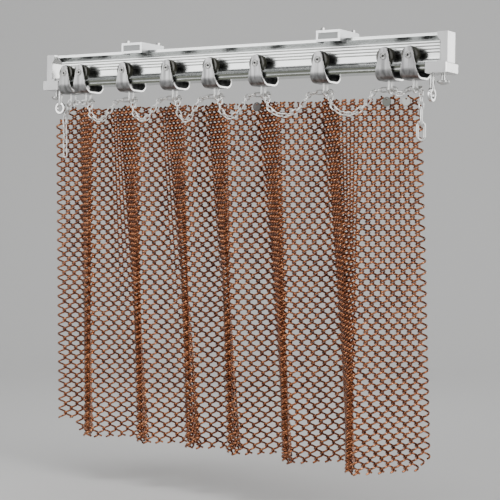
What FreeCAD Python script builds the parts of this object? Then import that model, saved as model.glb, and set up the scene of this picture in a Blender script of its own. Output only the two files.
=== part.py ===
import FreeCAD, Part
import math
import os

# Coil mesh curtain, pleated, hung from roller carriers on an I-beam track.
# Millimetres. X runs along the track, Y to the back, Z up. The ceiling is z = 0.
V = FreeCAD.Vector

# Driving dimensions
track_length = 412.6
track_height = 32.0
bracket_spacing = 214.0
curtain_height = 330.5
wheel_radius = 8.2
wire_of_chain = 1.0

# Track section
track_drop = 6.5
top_flange_width = 14.0
top_flange_edge = 2.4
top_flange_root = 6.4
web_thickness = 3.0
bottom_flange_width = 23.0
bottom_flange_edge = 4.8
foot_radius = 8.0
flute_count = 4
flute_first = 0.7
flute_pitch = 2.7
flute_height = 1.3
flute_depth = 0.4
flute_bevel = 0.3
edge_groove_height = 1.4
edge_groove_depth = 0.5
cap_groove_height = 0.7
cap_groove_depth = 0.4

# Ceiling brackets
bracket_width = 24.0
bracket_depth = 37.0
bracket_height = 10.0
bracket_wall = 1.0
bracket_top = 1.2
bracket_hook = 3.4
bracket_tail = 3.0
bracket_fit = 0.2
bracket_arch_chords = 6
panel_rim = 2.2
panel_recess = 0.4
hole_across = 16.0
hole_deep = 28.0
ceiling_hole_radius = 2.25
ceiling_screw_radius = 2.0
ceiling_screw_tip = 2.6
ceiling_head_radius = 2.8
ceiling_head_height = 1.8

# End stops
block_length = 19.5
block_depth = 26.0
block_top_wall = 1.4
block_floor = 2.4
block_pocket = 8.8
block_fit = 0.2
block_lip = 4.8
block_chamfer = 0.6
left_block_overlap = 4.0
right_block_overlap = 8.3
upright_thickness = 6.5
upright_depth = 16.0
upright_inset = 1.2
upright_rise = 0.8
upright_lip = 3.0
upright_lip_height = 4.3
upright_lip_taper = 4.0
upright_foot_height = 2.0
stop_screw_offset = 1.6
stop_screw_radius = 2.25
stop_screw_reach = 3.6
stop_screw_gap = 6.0
stop_head_radius = 5.5
stop_head_height = 3.5
stop_head_rim = 1.3
stop_head_crown = 3.4
eye_inset = 3.15
eye_forward = 5.0
eye_shank_radius = 2.15
eye_shank_clearance = 0.05
eye_shank_length = 14.9
eye_radius = 6.25
eye_hole_radius = 3.3
eye_thickness = 3.0
eye_chamfer = 0.5
eye_sides = 16
screw_sides = 10
screw_fit = 0.05

# Roller carriers
yoke_width = 16.5
yoke_inner = 26.0
yoke_strap = 2.0
yoke_bend = 10.0
yoke_shoulder = 5.0
yoke_head_radius = 5.25
yoke_head_rise = 2.4
yoke_under = 6.4
yoke_bend_chords = 3
yoke_head_chords = 6
wheel_lift = 0.3
wheel_width = 6.0
wheel_side_gap = 0.3
wheel_chamfer = 1.2
wheel_sides = 12
rivet_radius = 2.0
rivet_clearance = 0.05
rivet_head_radius = 2.9
rivet_head_height = 0.7
rivet_hole_radius = 1.1
rivet_hole_depth = 3.0
rivet_end_gap = 0.3
rivet_sides = 8

# Hangers
hanger_wire = 1.6
hanger_spread = 7.0
hanger_drop = 12.1
hanger_head = 2.8
hanger_head_height = 1.0
hanger_hole_fit = 0.1
hanger_sides = 6
hanger_chords = 6

# Places of the carriers along the track. The end pairs stand side by side, with the others between.
left_carrier_inset = 13.6
left_pair_gap = 2.5
right_carrier_inset = 23.2
right_pair_gap = 7.1
middle_carrier_shares = (0.159, 0.315, 0.458, 0.612, 0.807)

# Curtain. Each coil is a ridge on both faces, with a valley where the next coil hooks in.
coil_count = 112
curtain_thickness = 6.8
valley_thickness = 2.8
curtain_seat = 0.3
fold_radius = 5.0
curtain_bands = 1
peak_width = 4.0
scallop_depth = 6.0
top_fold_depth = 18.0
hem_fold_depth = 40.0
edge_column_width = 12.0
edge_column_step = 13.0
hem_corner_width = 6.0
hem_corner_step = 10.0

# The folds: places, as shares of the way from the second carrier to the last but one, and depths
top_fold_x_shares = (
    -0.100, -0.037, 0.035, 0.062, 0.201, 0.245, 0.369,
    0.401, 0.514, 0.580, 0.676, 0.783, 0.858, 1.080,
)
top_fold_y_shares = (
    -0.33, 0.28, -0.5, 0.5, -0.5, 0.5, -0.5,
    0.5, -0.5, 0.5, -0.5, 0.5, -0.5, 0.11,
)
hem_fold_x_shares = (
    -0.097, -0.025, 0.047, 0.183, 0.239, 0.374, 0.403,
    0.511, 0.551, 0.676, 0.747, 0.874, 0.960, 1.102,
)
hem_fold_y_shares = (
    -0.05, 0.45, -0.5, 0.5, -0.5, 0.5, -0.48,
    0.5, -0.58, 0.5, -0.78, 0.5, -1.15, 0.45,
)

# Spacer chain. Each course is a list of distances from a hanger: sideways, forward and down.
link_length = 8.0
link_width = 5.0
link_play = 0.5
link_corner_share = 0.55
link_seat_gap = 0.15
swag_links = (16, 16, 16, 16, 18, 18)
swag_clearance = 4.0
swag_shoulder = ((5.4, 1.0, 0.2), (9.8, 5.4, 1.3), (12.0, 10.8, 4.2), (13.2, 15.0, 9.4))
left_pair_links = 4
left_pair_forward = 0.3
left_pair_sag = 1.0
right_pair_links = 6
right_pair_forward = 5.0
right_pair_sag = 4.4
right_pair_shoulder = ((4.6, 0.9, 0.4),)
left_tail_links = 11
left_tail_course = (
    (4.9, 0.1, 0.9), (5.3, 0.8, 5.6), (4.4, 3.8, 10.4), (3.8, 7.8, 14.2), (3.2, 9.6, 19.0), (2.6, 9.8, 25.0),
    (2.2, 9.8, 40.0), (2.0, 9.8, 60.0),
)
right_tail_links = 5
right_tail_course = (
    (4.8, 1.1, 0.3), (8.2, 5.1, 1.8), (10.2, 9.4, 5.8), (11.2, 11.3, 11.4),
    (11.4, 11.6, 18.0), (11.4, 11.6, 26.0), (11.4, 11.6, 40.0), (11.4, 11.6, 60.0),
)
right_tail_twist = -86
big_links = 2
big_link_length = 17.5
big_link_width = 8.4
big_link_wire = 2.2

# Tag discs
tag_radius = 4.2
tag_thickness = 0.9
tag_hole_radius = 0.9
tag_hole_inset = 1.9
tag_sides = 12
tag_drop = 2.4
middle_tag_inset = 7.0
middle_tag_back = 0.9
last_tag_inset = 6.0
last_tag_forward = 4.0
other_tag_forward = 6.6

# Cuts run past the faces that they open
overrun = 1.0
point_tolerance = 1e-7
sag_tolerance = 1e-6

# Levels and places worked out from the sizes above
up = V(0, 0, 1)
full_turn = 2 * math.pi
quarter_degrees = 90
track_top = -track_drop
track_bottom = track_top - track_height
tread = track_bottom + bottom_flange_edge
axle_z = tread + wheel_radius + wheel_lift
yoke_bottom = track_bottom - yoke_under
hanger_bottom = yoke_bottom - hanger_drop
curtain_top = hanger_bottom - curtain_seat
hem = curtain_top - curtain_height
cheek_face = yoke_inner / 2
hanger_bend = hanger_spread / 2
hanger_centre = hanger_bottom + hanger_wire / 2 + hanger_bend
swag_forward = top_fold_depth / 2 + curtain_thickness / 2 + swag_clearance
block_top = tread + block_fit + block_top_wall
block_bottom = track_bottom - block_fit - block_floor


def carrier_places():
    """The carriers' places along the track, left to right."""
    first = left_carrier_inset - track_length / 2
    last = track_length / 2 - right_carrier_inset
    second = first + yoke_width + left_pair_gap
    last_but_one = last - yoke_width - right_pair_gap
    middle = [second + share * (last_but_one - second) for share in middle_carrier_shares]
    return [first, second] + middle + [last_but_one, last]


def course_edges(start, steps, chords=0):
    """The edges of a course. A step is a point to draw a line to, or a pair to draw an arc through and to.

    With a number of chords, each arc is drawn with that many flats.
    """
    edges = []
    here = start
    for step in steps:
        if isinstance(step, tuple):
            arc = Part.Arc(here, step[0], step[1]).toShape()
            if chords:
                edges += Part.makePolygon(arc.discretize(chords + 1)).Edges
            else:
                edges.append(arc)
            here = step[1]
        elif not here.isEqual(step, point_tolerance):
            edges.append(Part.LineSegment(here, step).toShape())
            here = step
    return edges


def outline(start, *steps, chords=0):
    """A closed wire through steps, back to its start."""
    return Part.Wire(course_edges(start, steps + (start,), chords))


def slab(wire, direction):
    return Part.Face(wire).extrude(direction)


def block(low, high):
    size = high - low
    return Part.makeBox(size.x, size.y, size.z, low)


def upright_cylinder(radius, x, y, low, high):
    return Part.makeCylinder(radius, high - low, V(x, y, low))


def joined(solids):
    return solids[0].multiFuse(solids[1:]).removeSplitter()


def flat_face(corners):
    """A flat face through corners, where corners that coincide count once."""
    kept = [p for i, p in enumerate(corners) if not p.isEqual(corners[i - 1], point_tolerance)]
    return Part.Face(Part.makePolygon(kept + kept[:1])) if len(kept) > 2 else None


def closed_solid(faces):
    solid = Part.Solid(Part.Shell([face for face in faces if face]))
    if solid.Volume < 0:
        solid.reverse()
    return solid.removeSplitter()


def turned(profile, sides):
    """A solid turned about Z with flat sides, from a closed profile of radii and heights."""
    rays = [ray_at(full_turn * (i + 0.5) / sides) for i in range(sides)]
    faces = []
    for i in range(sides):
        for (radius, z), (next_radius, next_z) in zip(profile, profile[1:] + profile[:1]):
            faces.append(flat_face([
                rays[i - 1] * radius + up * z,
                rays[i - 1] * next_radius + up * next_z,
                rays[i] * next_radius + up * next_z,
                rays[i] * radius + up * z,
            ]))
    return closed_solid(faces)


def ray_at(angle):
    return V(math.cos(angle), math.sin(angle), 0)


def flat_sided_rod(radius, low, high, sides):
    return turned([(0, low), (radius, low), (radius, high), (0, high)], sides)


def skinned(sections):
    """A solid through rings of corners, one after the other."""
    faces = [flat_face(sections[0]), flat_face(sections[-1])]
    for ring, following in zip(sections, sections[1:]):
        for i in range(len(ring)):
            faces.append(flat_face([ring[i - 1], ring[i], following[i], following[i - 1]]))
    return closed_solid(faces)


def along_y(shape, side):
    """Turns a shape drawn about Z to lie about Y, with its top to the front or the back."""
    return shape.rotate(V(0, 0, 0), V(1, 0, 0), -side * quarter_degrees)


def save(name, shape):
    shape.exportStep(os.path.join("parts", name + ".step"))


# Track
def track_side():
    """One side of the I section, from the top flange's corner down to the bottom flange's corner."""
    half_top = top_flange_width / 2
    half_web = web_thickness / 2
    half_bottom = bottom_flange_width / 2
    groove = (top_flange_edge - cap_groove_height) / 2
    points = [
        V(0, half_top, track_top),
        V(0, half_top, track_top - groove),
        V(0, half_top - cap_groove_depth, track_top - groove),
        V(0, half_top - cap_groove_depth, track_top - groove - cap_groove_height),
        V(0, half_top, track_top - groove - cap_groove_height),
        V(0, half_top, track_top - top_flange_edge),
        V(0, half_web, track_top - top_flange_root),
    ]
    for i in range(flute_count):
        z = track_top - top_flange_root - flute_first - i * flute_pitch
        points += [
            V(0, half_web, z),
            V(0, half_web - flute_depth, z - flute_bevel),
            V(0, half_web - flute_depth, z - flute_height + flute_bevel),
            V(0, half_web, z - flute_height),
        ]
    foot_y = half_web + foot_radius
    foot_z = tread + foot_radius
    slant = math.sqrt(0.5) * foot_radius
    points.append(V(0, half_web, foot_z))
    points.append((V(0, foot_y - slant, foot_z - slant), V(0, foot_y, tread)))
    middle = (tread + track_bottom) / 2
    points += [
        V(0, half_bottom, tread),
        V(0, half_bottom, middle + edge_groove_height / 2),
        V(0, half_bottom - edge_groove_depth, middle),
        V(0, half_bottom, middle - edge_groove_height / 2),
        V(0, half_bottom, track_bottom),
    ]
    return points


def track():
    mirror = V(0, 1, 0)
    side = Part.Wire(outline(*track_side(), V(0, 0, track_bottom), V(0, 0, track_top)).Edges)
    half = slab(side, V(track_length, 0, 0))
    both = half.fuse(half.mirror(V(0, 0, 0), mirror)).removeSplitter()
    return both.translated(V(-track_length / 2, 0, 0))


# Ceiling brackets
def bracket_notch():
    """The room that the bracket leaves round the track's top flange."""
    half = top_flange_width / 2 + bracket_fit
    slope = (top_flange_root - top_flange_edge) / (top_flange_width / 2 - web_thickness / 2)
    lip_z = track_top - top_flange_edge - bracket_fit
    low = -bracket_height - overrun
    mouth = half - (lip_z - low) / slope
    return outline(
        V(0, half, track_top + bracket_fit),
        V(0, half, lip_z),
        V(0, mouth, low),
        V(0, -mouth, low),
        V(0, -half, lip_z),
        V(0, -half, track_top + bracket_fit),
    )


def bracket_cheek():
    """The bracket's side: full height in front, hooked under the flange, rising to a thin tail behind."""
    front = -bracket_depth / 2
    back = bracket_depth / 2
    hook = top_flange_width / 2 + bracket_hook
    rise = (bracket_height + bracket_tail) / 2
    return outline(
        V(0, front, 0),
        V(0, back, 0),
        V(0, back, -bracket_tail),
        (V(0, (hook + back) / 2 - bracket_wall, -rise + bracket_wall), V(0, hook, -bracket_height)),
        V(0, front, -bracket_height),
        chords=bracket_arch_chords,
    )


def ceiling_bracket(x):
    """A pressed bracket with a free hole in front and behind, and screws in two corners."""
    width = bracket_width
    front = -bracket_depth / 2
    body = slab(bracket_cheek(), V(width, 0, 0)).translated(V(-width / 2, 0, 0))
    inside = block(
        V(-width / 2 + bracket_wall, front + bracket_wall, -bracket_height - overrun),
        V(width / 2 - bracket_wall, bracket_depth / 2 + overrun, -bracket_top),
    )
    notch = slab(bracket_notch(), V(width + 2 * overrun, 0, 0)).translated(V(-width / 2 - overrun, 0, 0))
    panel = block(
        V(-width / 2 + panel_rim, front - overrun, -bracket_height + panel_rim),
        V(width / 2 - panel_rim, front + panel_recess, -panel_rim),
    )
    low = -bracket_top - overrun
    screw = flat_sided_rod(ceiling_screw_radius + screw_fit, low, overrun, screw_sides)
    holes = []
    for i in (-1, 1):
        holes.append(upright_cylinder(ceiling_hole_radius, 0, i * hole_deep / 2, low, overrun))
        holes.append(screw.translated(V(i * hole_across / 2, i * hole_deep / 2, 0)))
    return body.cut([inside, notch, panel] + holes).translated(V(x, 0, 0))


def ceiling_screws(x):
    """The screws in a bracket's two corners, heads under its top."""
    seat = -bracket_top
    profile = [
        (0, seat - ceiling_head_height),
        (ceiling_head_radius, seat - ceiling_head_height),
        (ceiling_head_radius, seat),
        (ceiling_screw_radius, seat),
        (ceiling_screw_radius, ceiling_screw_tip),
        (0, ceiling_screw_tip),
    ]
    screw = turned(profile, screw_sides)
    solids = [screw.translated(V(x + i * hole_across / 2, i * hole_deep / 2, 0)) for i in (-1, 1)]
    return Part.makeCompound(solids)


# End stops, drawn for the right end with x = 0 at the block's middle
def end_block():
    half = block_length / 2
    side = block_depth / 2
    body = block(V(-half, -side, block_bottom), V(half, side, block_top))
    outer = [edge for edge in body.Edges if edge.BoundBox.XMin > 0]
    body = body.makeChamfer(block_chamfer, outer)
    flange = bottom_flange_width / 2 + block_fit
    pocket = block(
        V(-half - overrun, -flange, track_bottom - block_fit),
        V(-half + block_pocket, flange, tread + block_fit),
    )
    throat = block(
        V(-half - overrun, -side + block_lip, tread),
        V(-half + block_pocket, side - block_lip, block_top + overrun),
    )
    screw = stop_screw_hole(block_bottom - overrun, block_top + overrun)
    bore = (eye_shank_radius + eye_shank_clearance) / math.cos(math.pi / screw_sides)
    eye = flat_sided_rod(bore, block_bottom - overrun, tread, screw_sides)
    return body.cut([pocket, throat, screw, eye.translated(V(eye_place(), -eye_forward, 0))])


def stop_screw_hole(low, high):
    return flat_sided_rod(stop_screw_radius, low, high, screw_sides).translated(V(stop_screw_offset, 0, 0))


def eye_place():
    return -block_length / 2 + eye_inset


def end_upright():
    outer = block_length / 2 - upright_inset
    inner = outer - upright_thickness
    top = track_top + upright_rise
    lip = top - upright_lip_height
    foot = block_top + upright_foot_height
    shape = outline(
        V(outer, 0, block_top),
        V(outer, 0, top),
        V(inner - upright_lip, 0, top),
        V(inner - upright_lip, 0, lip),
        V(inner, 0, lip - upright_lip_taper),
        V(inner, 0, foot),
        V(inner - upright_lip, 0, foot),
        V(inner - upright_lip, 0, block_top),
    )
    body = slab(shape, V(0, upright_depth, 0)).translated(V(0, -upright_depth / 2, 0))
    return body.cut(stop_screw_hole(block_top - overrun, block_top + stop_screw_reach))


def end_screw():
    """A screw up through the block into the upright, its pan head standing below the block."""
    seat = block_bottom - stop_screw_gap
    shank = stop_screw_radius - screw_fit
    profile = [
        (0, seat - stop_head_height),
        (stop_head_crown, seat - stop_head_height),
        (stop_head_radius, seat - stop_head_rim),
        (stop_head_radius, seat),
        (shank, seat),
        (shank, block_top + stop_screw_reach),
        (0, block_top + stop_screw_reach),
    ]
    return turned(profile, screw_sides).translated(V(stop_screw_offset, 0, 0))


def eye_bolt(facing_front):
    """The eye below the block: a turned shank and a flat ring, which faces front or along the track."""
    top = track_bottom - block_fit
    neck = block_bottom - eye_shank_length
    centre = neck - eye_hole_radius
    shank = flat_sided_rod(eye_shank_radius, neck, top, screw_sides)
    half = eye_thickness / 2
    rim = half - eye_chamfer
    profile = [
        (eye_hole_radius, -half),
        (eye_radius - eye_chamfer, -half),
        (eye_radius, -rim),
        (eye_radius, rim),
        (eye_radius - eye_chamfer, half),
        (eye_hole_radius, half),
    ]
    ring = along_y(turned(profile, eye_sides), 1)
    if not facing_front:
        ring = ring.rotate(V(0, 0, 0), up, quarter_degrees)
    body = shank.fuse(ring.translated(V(0, 0, centre))).removeSplitter()
    return body.translated(V(eye_place(), -eye_forward, 0))


def stop_middle(side):
    overlap = right_block_overlap if side > 0 else left_block_overlap
    return side * (track_length / 2 + block_length / 2 - overlap)


def at_end(shape, side):
    """Puts a piece of the right end stop at its end of the track, turned to face it."""
    if side < 0:
        shape = shape.mirror(V(0, 0, 0), V(1, 0, 0))
    return shape.translated(V(stop_middle(side), 0, 0))


# Roller carriers, drawn at x = 0
def yoke():
    """A strap bent under the track, wide below and round at its two ends, where the rivets sit."""
    outer = cheek_face + yoke_strap
    inner_bend = yoke_bend - yoke_strap
    top = axle_z + yoke_head_rise + yoke_head_radius
    corner = math.sqrt(0.5) * yoke_bend
    inner_corner = math.sqrt(0.5) * inner_bend
    bend_z = yoke_bottom + yoke_bend
    turn = outer - yoke_bend
    section = outline(
        V(0, -outer, top),
        V(0, -outer, bend_z),
        (V(0, -turn - corner, bend_z - corner), V(0, -turn, yoke_bottom)),
        V(0, turn, yoke_bottom),
        (V(0, turn + corner, bend_z - corner), V(0, outer, bend_z)),
        V(0, outer, top),
        V(0, cheek_face, top),
        V(0, cheek_face, bend_z),
        (V(0, turn + inner_corner, bend_z - inner_corner), V(0, turn, yoke_bottom + yoke_strap)),
        V(0, -turn, yoke_bottom + yoke_strap),
        (V(0, -turn - inner_corner, bend_z - inner_corner), V(0, -cheek_face, bend_z)),
        V(0, -cheek_face, top),
        chords=yoke_bend_chords,
    )
    strap = slab(section, V(yoke_width, 0, 0)).translated(V(-yoke_width / 2, 0, 0))
    shape = slab(yoke_front(), V(0, 2 * outer, 0)).translated(V(0, -outer, 0))
    rivets = along_y(flat_sided_rod(rivet_radius + screw_fit, -outer, outer, rivet_sides), 1)
    wire = (hanger_wire + hanger_hole_fit) / 2
    leg = flat_sided_rod(wire, yoke_bottom - overrun, bend_z, hanger_sides)
    legs = [leg.translated(V(0, j * hanger_bend, 0)) for j in (-1, 1)]
    return strap.common(shape).cut([rivets.translated(up * axle_z)] + legs)


def yoke_front():
    """The strap seen from the front: sides that lean in to the round end."""
    half = yoke_width / 2
    shoulder_z = yoke_bottom + yoke_shoulder
    head_z = axle_z + yoke_head_rise
    reach = math.hypot(half, head_z - shoulder_z)
    lean = math.atan2(half, head_z - shoulder_z)
    turn = lean - math.acos(yoke_head_radius / reach) + math.pi / 2
    angle = math.pi / 2 - turn
    side_x = yoke_head_radius * math.cos(angle)
    side_z = head_z + yoke_head_radius * math.sin(angle)
    return outline(
        V(-half, 0, yoke_bottom),
        V(half, 0, yoke_bottom),
        V(half, 0, shoulder_z),
        V(side_x, 0, side_z),
        (V(0, 0, head_z + yoke_head_radius), V(-side_x, 0, side_z)),
        V(-half, 0, shoulder_z),
        chords=yoke_head_chords,
    )


def wheel(side):
    """A wheel inside one cheek, bored for its rivet and bevelled towards the web."""
    outer = cheek_face - wheel_side_gap
    inner = outer - wheel_width
    bore = (rivet_radius + rivet_clearance) / math.cos(math.pi / wheel_sides)
    profile = [
        (bore, outer),
        (wheel_radius, outer),
        (wheel_radius, inner + wheel_chamfer),
        (wheel_radius - wheel_chamfer, inner),
        (bore, inner),
    ]
    return along_y(turned(profile, wheel_sides), side).translated(up * axle_z)


def wheels():
    return Part.makeCompound([wheel(-1), wheel(1)])


def rivet(side):
    """A tubular rivet through the cheek and the wheel, headed outside."""
    face = cheek_face + yoke_strap
    inner = cheek_face - wheel_side_gap - wheel_width - rivet_end_gap
    profile = [
        (0, inner),
        (rivet_radius, inner),
        (rivet_radius, face),
        (rivet_head_radius, face),
        (rivet_head_radius, face + rivet_head_height),
        (rivet_hole_radius, face + rivet_head_height),
        (rivet_hole_radius, face + rivet_head_height - rivet_hole_depth),
        (0, face + rivet_head_height - rivet_hole_depth),
    ]
    return along_y(turned(profile, rivet_sides), side).translated(up * axle_z)


def rivets():
    return Part.makeCompound([rivet(-1), rivet(1)])


def hanger():
    """A U of wire through the yoke's floor, its ends headed above it and its bend below."""
    seat = yoke_bottom + yoke_strap
    sections = [hanger_section(0, seat)]
    for i in range(hanger_chords + 1):
        sections.append(hanger_section(math.pi * i / hanger_chords, hanger_centre))
    sections.append(hanger_section(math.pi, seat))
    head = flat_sided_rod(hanger_head / 2, seat, seat + hanger_head_height, hanger_sides)
    heads = [head.translated(V(0, j * hanger_bend, 0)) for j in (-1, 1)]
    return joined([skinned(sections)] + heads)


def hanger_section(angle, level):
    """The wire's section where the U has turned through an angle, from its back leg to its front leg."""
    outward = V(0, math.cos(angle), -math.sin(angle))
    centre = up * level + outward * hanger_bend
    corners = []
    for i in range(hanger_sides):
        ray = ray_at(full_turn * (i + 0.5) / hanger_sides)
        corners.append(centre + (V(ray.x, 0, 0) + outward * ray.y) * (hanger_wire / 2))
    return corners


# Curtain: a sheet with folds that are shallow at the top and deep at the hem
def fold_points(x_shares, y_shares, depth):
    places = carrier_places()
    start, end = places[1], places[-2]
    return [V(start + i * (end - start), j * depth, 0) for i, j in zip(x_shares, y_shares)]


def valley_at(x):
    """The valley that lies nearest to a carrier, counted from the left end."""
    places = coil_places(fold_points(top_fold_x_shares, top_fold_y_shares, top_fold_depth), curtain_top)
    return min(range(coil_count + 1), key=lambda i: abs(places[2 * i].x - x))


def left_of(direction):
    return V(-direction.y, direction.x, 0)


def coil_places(folds, z):
    """Even places along the rounded folds: a valley, a coil's middle, the next valley, and so on."""
    ways = [(folds[i + 1] - folds[i]).normalize() for i in range(len(folds) - 1)]
    steps = []
    for i in range(1, len(folds) - 1):
        into, out = ways[i - 1], ways[i]
        turn = math.atan2(into.cross(out).z, into.dot(out))
        setback = fold_radius * math.tan(abs(turn) / 2)
        start, end = folds[i] - into * setback, folds[i] + out * setback
        bulge = fold_radius / math.cos(turn / 2) - fold_radius
        half_way = (out - into).normalize()
        steps += [start, (folds[i] + half_way * bulge, end)]
    steps.append(folds[-1])
    course = Part.Wire(course_edges(folds[0], steps)).translated(up * z)
    return course.discretize(2 * coil_count + 1)


def sheet_ring(places, first, last):
    """The corners of the sheet's cut face, from one valley to another, with a ridge for every coil."""
    there, back = [], []
    for i in range(2 * first, 2 * last + 1):
        way = places[min(i + 1, 2 * coil_count)] - places[max(i - 1, 0)]
        across = left_of(way).normalize() * ((curtain_thickness if i % 2 else valley_thickness) / 2)
        there.append(places[i] + across)
        back.append(places[i] - across)
    return there + back[::-1]


def coil_sheet(first, last, places):
    """A piece of the curtain between two valleys, skinned at levels from its top to its hem."""
    top = coil_places(fold_points(top_fold_x_shares, top_fold_y_shares, top_fold_depth), curtain_top)
    low = coil_places(fold_points(hem_fold_x_shares, hem_fold_y_shares, hem_fold_depth), hem)
    rings = []
    for i in range(curtain_bands + 1):
        level = [a + (b - a) * (i / curtain_bands) for a, b in zip(top, low)]
        rings.append(sheet_ring(level, first, last))
    faces = [flat_face(rings[0]), flat_face(rings[-1])]
    for upper, lower in zip(rings, rings[1:]):
        for i in range(len(upper)):
            faces += strip(upper[i - 1], upper[i], lower[i - 1], lower[i])
    return scalloped(Part.Solid(Part.Shell(faces)), places)


def strip(start, end, low_start, low_end):
    """Two flat faces between two corners and the two below them, split along their shorter diagonal."""
    if start.distanceToPoint(low_end) < end.distanceToPoint(low_start):
        return [flat_face([start, end, low_end]), flat_face([start, low_end, low_start])]
    return [flat_face([start, end, low_start]), flat_face([end, low_end, low_start])]


def scalloped(sheet, places):
    """Lowers the sheet's top edge between the carriers, where nothing holds it up."""
    box = sheet.BoundBox
    edges = [box.XMin - overrun]
    for x in places:
        edges += [x - peak_width / 2, x + peak_width / 2]
    edges.append(box.XMax + overrun)
    gaps = []
    for low, high in zip(edges[::2], edges[1::2]):
        if high > low:
            gaps.append(block(
                V(low, box.YMin - overrun, curtain_top - scallop_depth),
                V(high, box.YMax + overrun, curtain_top + overrun),
            ))
    return sheet.cut(gaps)


def curtain_left(last, places):
    """The left end, whose outermost columns are hung lower and end higher."""
    sheet = coil_sheet(0, last, places)
    box = sheet.BoundBox
    top_x = fold_points(top_fold_x_shares, top_fold_y_shares, top_fold_depth)[0].x + edge_column_width
    hem_x = top_x + edge_column_width
    low = V(box.XMin - overrun, box.YMin - overrun, 0)
    high = V(0, box.YMax + overrun, 0)
    above = block(V(low.x, low.y, curtain_top - edge_column_step), V(top_x, high.y, curtain_top + overrun))
    below = block(V(low.x, low.y, hem - overrun), V(hem_x, high.y, hem + edge_column_step))
    return sheet.cut([above, below])


def curtain_right(first, places):
    """The right end, whose last column ends a turn higher."""
    sheet = coil_sheet(first, coil_count, places)
    box = sheet.BoundBox
    corner = block(
        V(box.XMax - hem_corner_width, box.YMin - overrun, hem - overrun),
        V(box.XMax + overrun, box.YMax + overrun, hem + hem_corner_step),
    )
    return sheet.cut(corner)


# Spacer chain: links hooked through one another, from hanger to hanger
def link(centre, along, across, length=link_length, width=link_width, wire=wire_of_chain):
    """An oval link with flat sides, lying along one direction and spread across another."""
    cut = width / 2 * link_corner_share
    low = -wire / 2
    x, y = length / 2, width / 2
    rim = outline(
        V(x, y - cut, low), V(x - cut, y, low), V(cut - x, y, low), V(-x, y - cut, low),
        V(-x, cut - y, low), V(cut - x, -y, low), V(x - cut, -y, low), V(x, cut - y, low),
    )
    x, y = x - wire, y - wire
    eye = outline(V(x, y, low), V(-x, y, low), V(-x, -y, low), V(x, -y, low))
    solid = slab([rim, eye], V(0, 0, wire))
    turn = FreeCAD.Rotation(along, across, along.cross(across), "XYZ")
    solid.Placement = FreeCAD.Placement(centre, turn)
    return solid


def link_seat():
    """The level of the link that lies flat in a hanger's bend."""
    inner = (hanger_bend - hanger_wire / 2) * math.cos(math.pi / hanger_chords / 2)
    half = link_width / 2
    return hanger_centre - math.sqrt(inner * inner - half * half) + wire_of_chain / 2 + link_seat_gap


def flat_link(x):
    return link(V(x, 0, link_seat()), V(1, 0, 0), V(0, 1, 0))


def spacing(one, other):
    """The distance between two hooked links' middles, each given as its length, width and wire."""
    return (one[0] + other[0]) / 2 - one[2] - other[2] - link_play


def threaded(course, distances, sizes, twist=0):
    """Links at distances along a course, each a quarter turn from the last, from a first flat one.

    A twist in degrees is shared out among them.
    """
    solids = []
    across = V(0, 1, 0)
    for i, (distance, size) in enumerate(zip(distances, sizes)):
        place = course.parameterAtDistance(distance, course.FirstParameter)
        along = course.tangent(place)[0]
        across = (across - along * across.dot(along)).normalize()
        spread = across if i % 2 else along.cross(across)
        spread = FreeCAD.Rotation(along, twist * (i + 1) / len(sizes)).multVec(spread)
        solids.append(link(course.value(place), along, spread, *size))
    return solids


def course_through(points):
    course = Part.BSplineCurve()
    course.interpolate(points)
    return course


def swag_course(start, end, forward, sag, shoulder=()):
    """The way from one hanger to the next, over the curtain's edge and down in front of it."""
    seat = link_seat()
    points = [V(start, 0, seat)]
    points += [V(start + x, -y, seat - z) for x, y, z in shoulder]
    points.append(V((start + end) / 2, -forward, seat - sag))
    points += [V(end - x, -y, seat - z) for x, y, z in reversed(shoulder)]
    points.append(V(end, 0, seat))
    return course_through(points)


def swag_sag(start, end, links):
    """The sag at which a swag takes its whole number of links."""
    small = (link_length, link_width, wire_of_chain)
    wanted = links * spacing(small, small)
    low, high = 0.0, end - start
    while high - low > sag_tolerance:
        middle = (low + high) / 2
        if swag_course(start, end, swag_forward, middle, swag_shoulder).length() < wanted:
            low = middle
        else:
            high = middle
    return low


def swag(course, links):
    """The links between two hangers, without the flat links that lie in the hangers."""
    small = (link_length, link_width, wire_of_chain)
    step = course.length() / links
    return threaded(course, [i * step for i in range(1, links)], [small] * links)


def tail(x, side, steps, small_count, big_count, twist=0):
    """Links that leave a hanger sideways, come forward and hang down."""
    small = (link_length, link_width, wire_of_chain)
    big = (big_link_length, big_link_width, big_link_wire)
    seat = link_seat()
    course = course_through([V(x, 0, seat)] + [V(x + side * a, -b, seat - c) for a, b, c in steps])
    sizes = [small] * small_count + [big] * big_count
    distances = []
    distance = 0.0
    for before, size in zip([small] + sizes, sizes):
        distance += spacing(before, size)
        distances.append(distance)
    return threaded(course, distances, sizes, twist)


def chain_left(places):
    course = swag_course(places[0], places[1], left_pair_forward, left_pair_sag)
    links = [flat_link(places[0])] + swag(course, left_pair_links) + [flat_link(places[1])]
    return Part.makeCompound(links + tail(places[0], -1, left_tail_course, left_tail_links, 0))


def chain_middle(places):
    links = []
    for start, end, count in zip(places[1:-2], places[2:-1], swag_links):
        sag = swag_sag(start, end, count)
        links += swag(swag_course(start, end, swag_forward, sag, swag_shoulder), count)
    return Part.makeCompound(links + [flat_link(x) for x in places[2:-2]])


def chain_right(places):
    course = swag_course(places[-2], places[-1], right_pair_forward, right_pair_sag, right_pair_shoulder)
    links = [flat_link(places[-2])] + swag(course, right_pair_links) + [flat_link(places[-1])]
    hanging = tail(places[-1], 1, right_tail_course, right_tail_links, big_links, right_tail_twist)
    return Part.makeCompound(links + hanging)


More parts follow.
